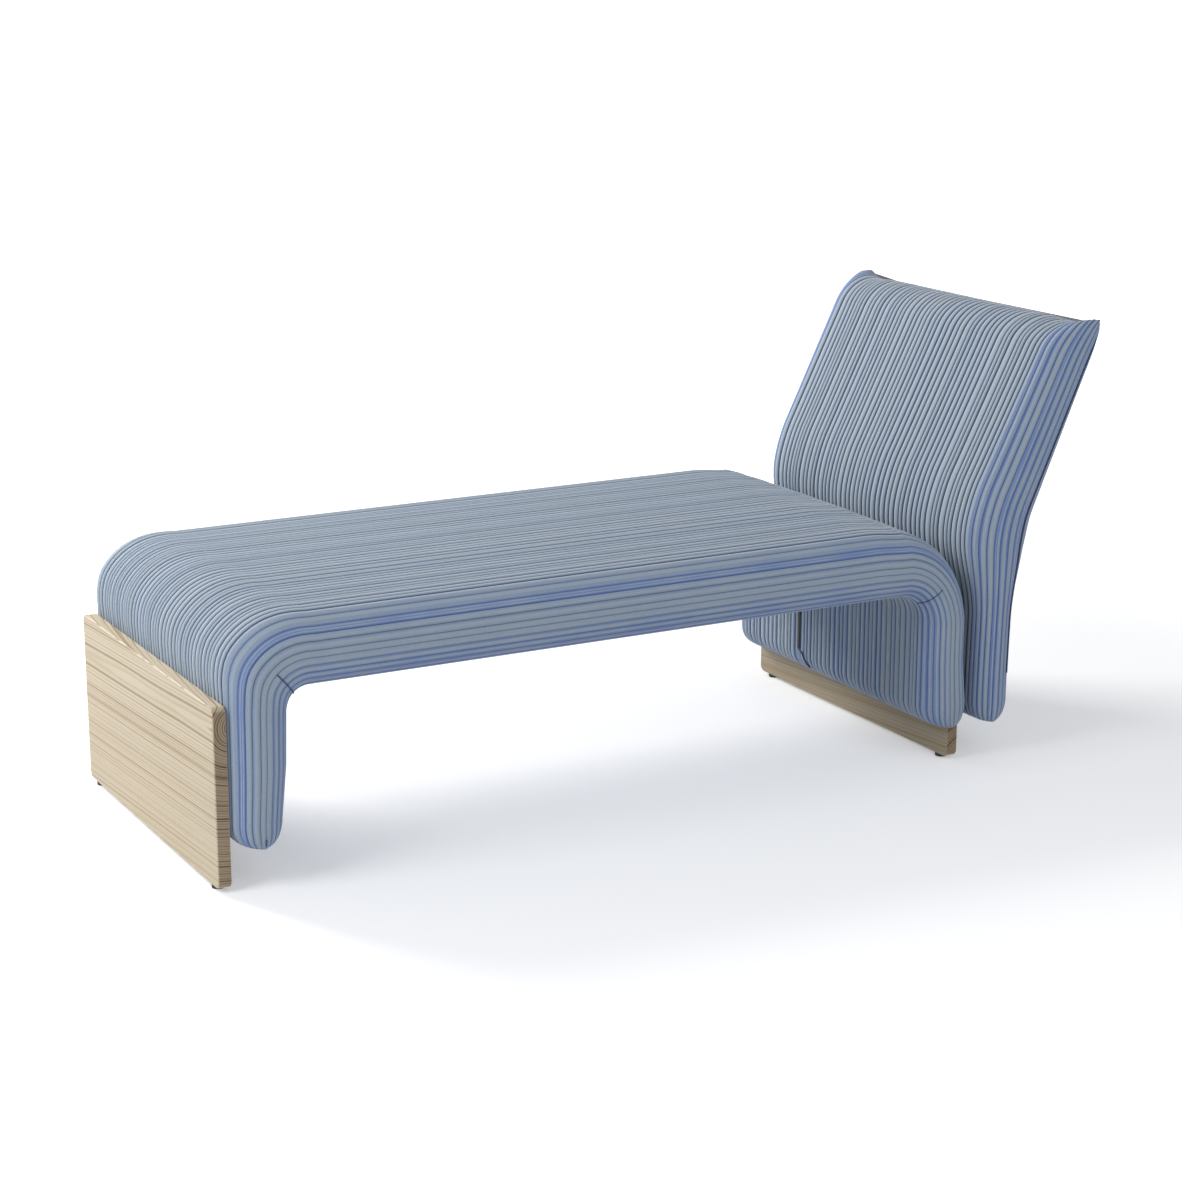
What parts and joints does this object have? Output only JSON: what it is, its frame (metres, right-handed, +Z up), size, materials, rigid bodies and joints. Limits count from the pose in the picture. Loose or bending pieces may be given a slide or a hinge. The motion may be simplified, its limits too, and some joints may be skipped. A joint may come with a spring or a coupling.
{
  "type": "chaise longue",
  "caption": "Chaise longue: a ribbed, padded arch on a timber end panel and plinth, with a leaning padded back, glides that screw out and an inner steel frame.",
  "frame": {"origin": "middle of the length and width, at floor level with the glides screwed in", "axes": "+X from the foot panel to the back along the length, +Y across the width, +Z up"},
  "size_m": [1.624, 0.692, 0.7557],
  "materials": {
    "panel_timber": "oiled, along the grain",
    "plinth_timber": "oiled, pale",
    "ribbed_cover": "soft ribbed fabric, grey-beige ribs with dark blue grooves",
    "foam": "open-cell foam",
    "frame_paint": "matt powder coat",
    "webbing": "woven elastic webbing",
    "zip_tape": "moulded coil zip",
    "zip_metal": "black enamel",
    "brass_insert": "turned",
    "zinc_steel": "bright zinc",
    "black_plastic": "moulded"
  },
  "bodies": {
    "chaise": {"foot_panel": "panel_timber", "plinth_board": "plinth_timber", "panel_inserts": "brass_insert", "plinth_inserts": "brass_insert", "glide_inserts": "brass_insert", "seat_cover": "ribbed_cover", "back_cover": "ribbed_cover", "seat_foam_outer": "foam", "seat_foam_inner": "foam", "back_foam_front": "foam", "back_foam_rear": "foam", "seat_frame": "frame_paint", "back_frame": "frame_paint", "seat_frame_plugs": "black_plastic", "back_frame_plugs": "black_plastic", "seat_webbing": "webbing", "back_webbing": "webbing", "seat_zip": "zip_tape", "panel_bolts": "zinc_steel", "plinth_bolts": "zinc_steel", "back_bolts": "zinc_steel"},
    "glide_foot_near": {"glide_pad_foot_near": "black_plastic", "glide_stem_foot_near": "zinc_steel"},
    "glide_foot_far": {"glide_pad_foot_far": "black_plastic", "glide_stem_foot_far": "zinc_steel"},
    "glide_head_near": {"glide_pad_head_near": "black_plastic", "glide_stem_head_near": "zinc_steel"},
    "glide_head_far": {"glide_pad_head_far": "black_plastic", "glide_stem_head_far": "zinc_steel"},
    "zip_slider": {"seat_zip_slider": "zip_metal"}
  },
  "joints": [
    {"name": "glide_foot_near_travel", "type": "slide", "parent": "chaise", "child": "glide_foot_near", "axis": [0, 0, -1], "range_m": [0, 0.008]},
    {"name": "glide_foot_far_travel", "type": "slide", "parent": "chaise", "child": "glide_foot_far", "axis": [0, 0, -1], "range_m": [0, 0.008]},
    {"name": "glide_head_near_travel", "type": "slide", "parent": "chaise", "child": "glide_head_near", "axis": [0, 0, -1], "range_m": [0, 0.008]},
    {"name": "glide_head_far_travel", "type": "slide", "parent": "chaise", "child": "glide_head_far", "axis": [0, 0, -1], "range_m": [0, 0.008]},
    {"name": "seat_zip_travel", "type": "slide", "parent": "chaise", "child": "zip_slider", "axis": [1, 0, 0], "range_m": [0, 1.07]}
  ]
}
